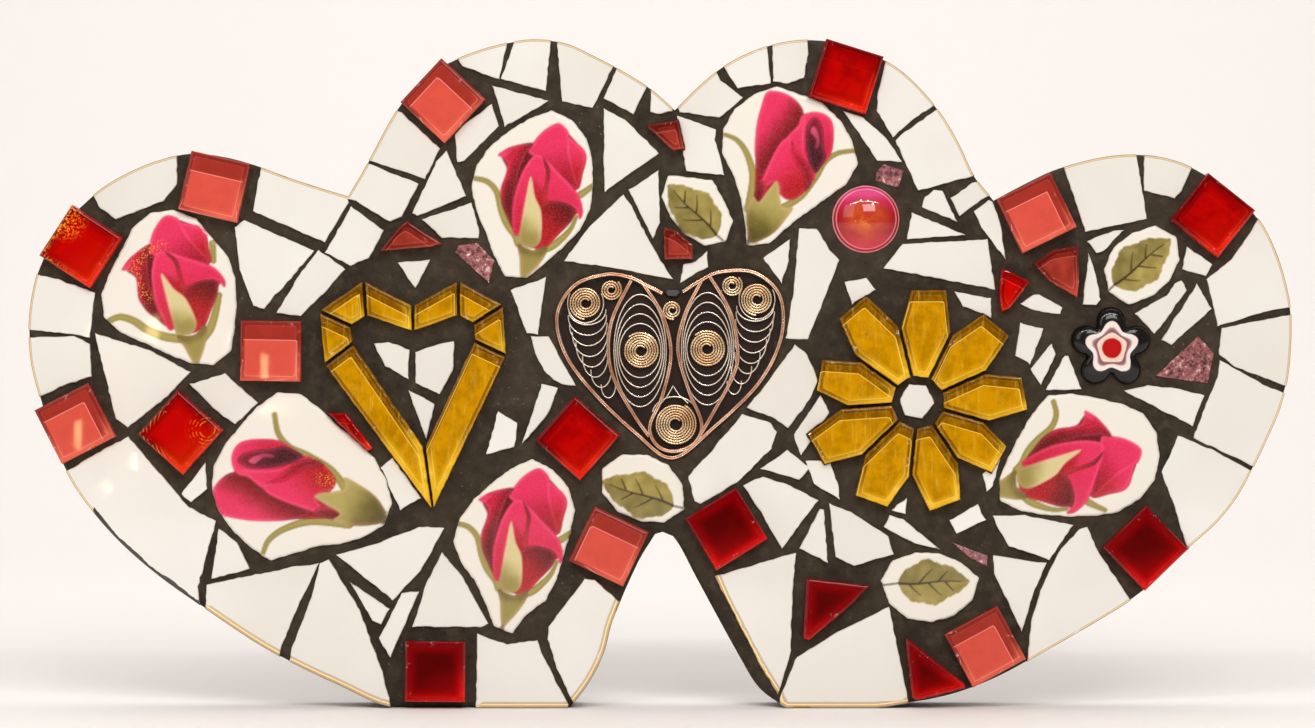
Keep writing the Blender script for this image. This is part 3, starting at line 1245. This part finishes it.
def lay_filigree():
    """Doubled frame wires, thin crescents and beaded coils over a brown backing."""
    frames = []
    for line in [HEART_FRAME, LYRE] + EYE_WIRES:
        line = smooth_line(line, False)
        frames += [(beside(line, 0.3), WIRE_TOP + 0.6 * MM), (beside(line, -0.3), WIRE_TOP + 0.72 * MM)]
    arcs = [(line, WIRE_TOP + 1.3 * MM) for line in crescents()]
    coils = [(coil_line(x, z, far, 0.25 * far), WIRE_TOP + 0.9 * MM) for x, z, far in COILS]
    bm = ngon_of(HEART_RING)
    tops = relief(bm, WIRE_SEAT - 0.5 * MM, [(0.3 * MM, 0.1 * MM)])
    score(bm, tops, 6 * MM)
    lay_walls(bm, WIRE_SEAT)
    for name, mesh, material in (
        ("frame_wires", drawn_wire(frames, 0.3), wire_metal("copper_wire", (244, 206, 178), (190, 136, 108))),
        ("crescent_wires", drawn_wire(arcs, 0.24, 1), wire_metal("pale_wire", (250, 240, 228), (224, 206, 190))),
        ("beaded_coils", drawn_wire(coils, lambda i: 0.43 if i % 2 else 0.22, 1),
         wire_metal("champagne_wire", (246, 222, 184), (212, 168, 124))),
        ("backing", mesh_of("filigree_backing", bm), brown_backing()),
    ):
        place_piece("filigree_" + name, mesh, material, "filigree_heart", smooth=name != "backing")


# ------------------------------------------------------------------ camera, lights and stage

CAMERA_DISTANCE = 1.25
# The width that the camera takes in at the level of the china, in metres.
VIEW_WIDTH = 0.4383
SENSOR_WIDTH = 36.0
LAMP_WHITE, CANDLE_YELLOW = (1.0, 0.99, 0.975), (1.0, 0.68, 0.3)
# Each light's place, the point it looks at, its width and height, and its power in watts.
LIGHTS = {
    "key": ((0.3, -1.5, 0.86), (0, 0, 0.1), (0.7, 0.45), 7.0),
    "strip": ((0, -0.95, 0.95), (0, -0.25, 0), (1.4, 0.012), 4.7),
    "fill": ((-0.9, -1.2, 0.7), (0, 0, 0.1), (0.8, 0.8), 3.4),
    "back_wash": ((0.0, 0.4, 1.1), (0, 1.6, 0.75), (2.2, 0.5), 4.5),
    "overhead": ((0, 0.45, 1.7), (0, 0.3, 0), (3.0, 1.2), 16.2),
}
# Small lamps that glint in the dome and the glass, by X and Z.
LAMPS = [(-0.35, 0.95), (-0.1, 1.05), (0.2, 1.0), (0.4, 0.8)]
# Narrow lights that stand straight before a tile and show in it as flames: X, Z and height.
CANDLES = [(-0.262, 0.112, 0.018), (-0.335, 0.118, 0.03), (-0.386, 0.068, 0.018)]
# The paper sweep: floor and wall meet in a curve of this radius, this far behind the panel.
CURVE_RADIUS, CURVE_START = 0.7, 0.9


def area_light(name, place, aim, size, power, colour=LAMP_WHITE):
    data = bpy.data.lights.new(name, "AREA")
    data.shape = "RECTANGLE"
    data.size, data.size_y = size
    data.energy = power
    data.color = colour
    light = bpy.data.objects.new(name, data)
    light.location = place
    light.rotation_euler = (Vector(aim) - Vector(place)).to_track_quat("-Z", "Y").to_euler()
    bpy.context.scene.collection.objects.link(light)


def pale_paper():
    """Paper that is seen from its upper side only, so that it never hides the panel."""
    paper = Finish("pale_paper")
    paper.wear(Base_Color=srgb(250, 247, 246), Specular_IOR_Level=0.2, Roughness=0.7)
    behind = paper.get("ShaderNodeNewGeometry", output="Backfacing")
    clear = paper.get("ShaderNodeBsdfTransparent", output="BSDF")
    glazed = Value(paper, paper.surface.outputs["BSDF"])
    one_sided = paper.get("ShaderNodeMixShader", {0: behind, 1: glazed, 2: clear}, output="Shader")
    paper.put(paper.tree.nodes["Material Output"].inputs["Surface"], one_sided)
    return paper.material


def lay_sweep():
    bm = bmesh.new()
    profile = [(-6.0, 0.0)] + [
        (CURVE_START + CURVE_RADIUS * math.sin(a), CURVE_RADIUS * (1 - math.cos(a)))
        for a in np.linspace(0, math.pi / 2, 16)
    ] + [(CURVE_START + CURVE_RADIUS, 3.0)]
    line = [bm.verts.new((-6, y, z - 0.0001)) for y, z in profile]
    edges = [bm.edges.new(pair) for pair in zip(line, line[1:])]
    swept = bmesh.ops.extrude_edge_only(bm, edges=edges)["geom"]
    bmesh.ops.translate(bm, vec=(12, 0, 0), verts=[g for g in swept if isinstance(g, bmesh.types.BMVert)])
    mesh = mesh_of("pale_sweep", bm)
    mesh.polygons.foreach_set("use_smooth", [True] * len(mesh.polygons))
    mesh.materials.append(pale_paper())
    sweep = bpy.data.objects.new("pale_sweep", mesh)
    bpy.context.scene.collection.objects.link(sweep)


def set_stage():
    scene = bpy.context.scene
    camera = bpy.data.objects.new("camera", bpy.data.cameras.new("camera"))
    camera.location = (-0.0008, -CAMERA_DISTANCE, 0.1147)
    camera.rotation_euler = (math.pi / 2, 0, 0)
    camera.data.sensor_width = SENSOR_WIDTH
    camera.data.lens = SENSOR_WIDTH * (CAMERA_DISTANCE + CHINA_LEVEL) / VIEW_WIDTH
    camera.data.clip_start = 0.01
    scene.collection.objects.link(camera)
    scene.camera = camera
    lay_sweep()
    scene.world = bpy.data.worlds.new("soft_room")
    scene.world.use_nodes = True
    room = scene.world.node_tree.nodes["Background"].inputs
    room["Color"].default_value = (1.0, 0.89, 0.78, 1)
    room["Strength"].default_value = 0.28
    for name, light in LIGHTS.items():
        area_light(name, *light)
    for i, (x, z) in enumerate(LAMPS, 1):
        area_light(f"lamp_{i}", (x, -0.95, z), (0.03, 0, 0.12), (0.08, 0.08), 0.62)
    for i, (x, z, tall) in enumerate(CANDLES, 1):
        area_light(f"candle_{i}", (x, -1.25, z), (x, 0, z), (0.0045, tall), 0.03, CANDLE_YELLOW)
    scene.view_settings.view_transform = "Standard"


lay_board()
lay_grout()
lay_china()
lay_glass()
lay_beads()
lay_painted_tiles()
lay_filigree()
set_stage()

bpy.context.view_layer.update()
